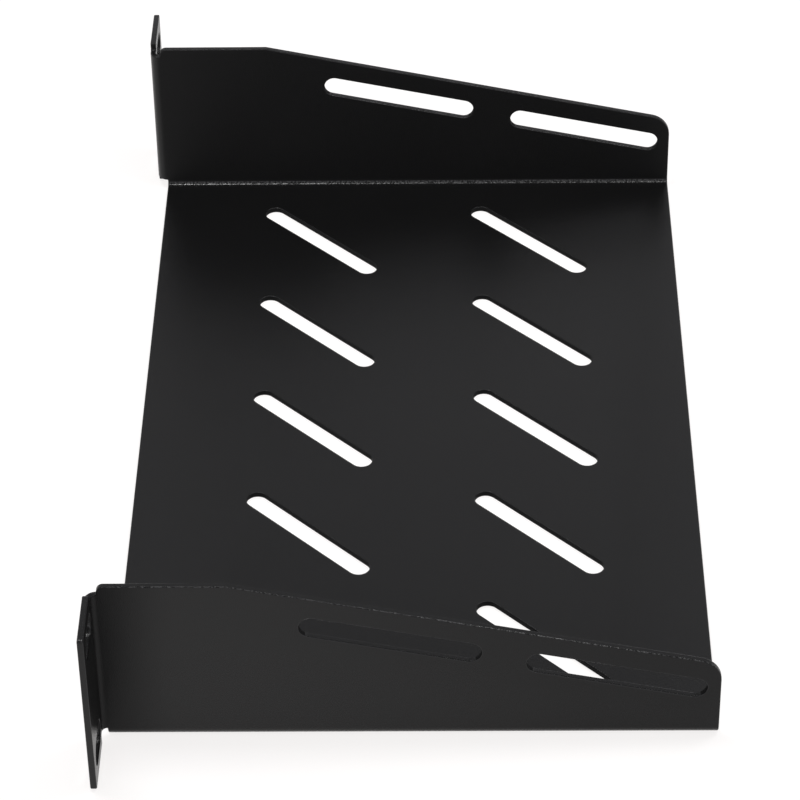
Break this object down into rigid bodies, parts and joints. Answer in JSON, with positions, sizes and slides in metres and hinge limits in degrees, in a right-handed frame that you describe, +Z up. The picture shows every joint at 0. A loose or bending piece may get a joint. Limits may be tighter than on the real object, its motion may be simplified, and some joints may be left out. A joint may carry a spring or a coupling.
{
  "type": "rack shelf",
  "caption": "Folded sheet-steel shelf for a 10 inch rack: slotted flat deck, slotted side walls that taper to the back, and slotted front ears that screw to the rack posts.",
  "frame": {"origin": "middle of the four ear holes, on the ears' rear face, which bears on the rack posts", "axes": "+X across the shelf, +Y from the ears to the back, +Z up from the deck"},
  "size_m": [0.254, 0.14, 0.0448],
  "materials": {
    "powder_coat": "satin black powder coat with a fine grain"
  },
  "bodies": {
    "root": {"folded_shelf": "powder_coat"}
  },
  "joints": []
}
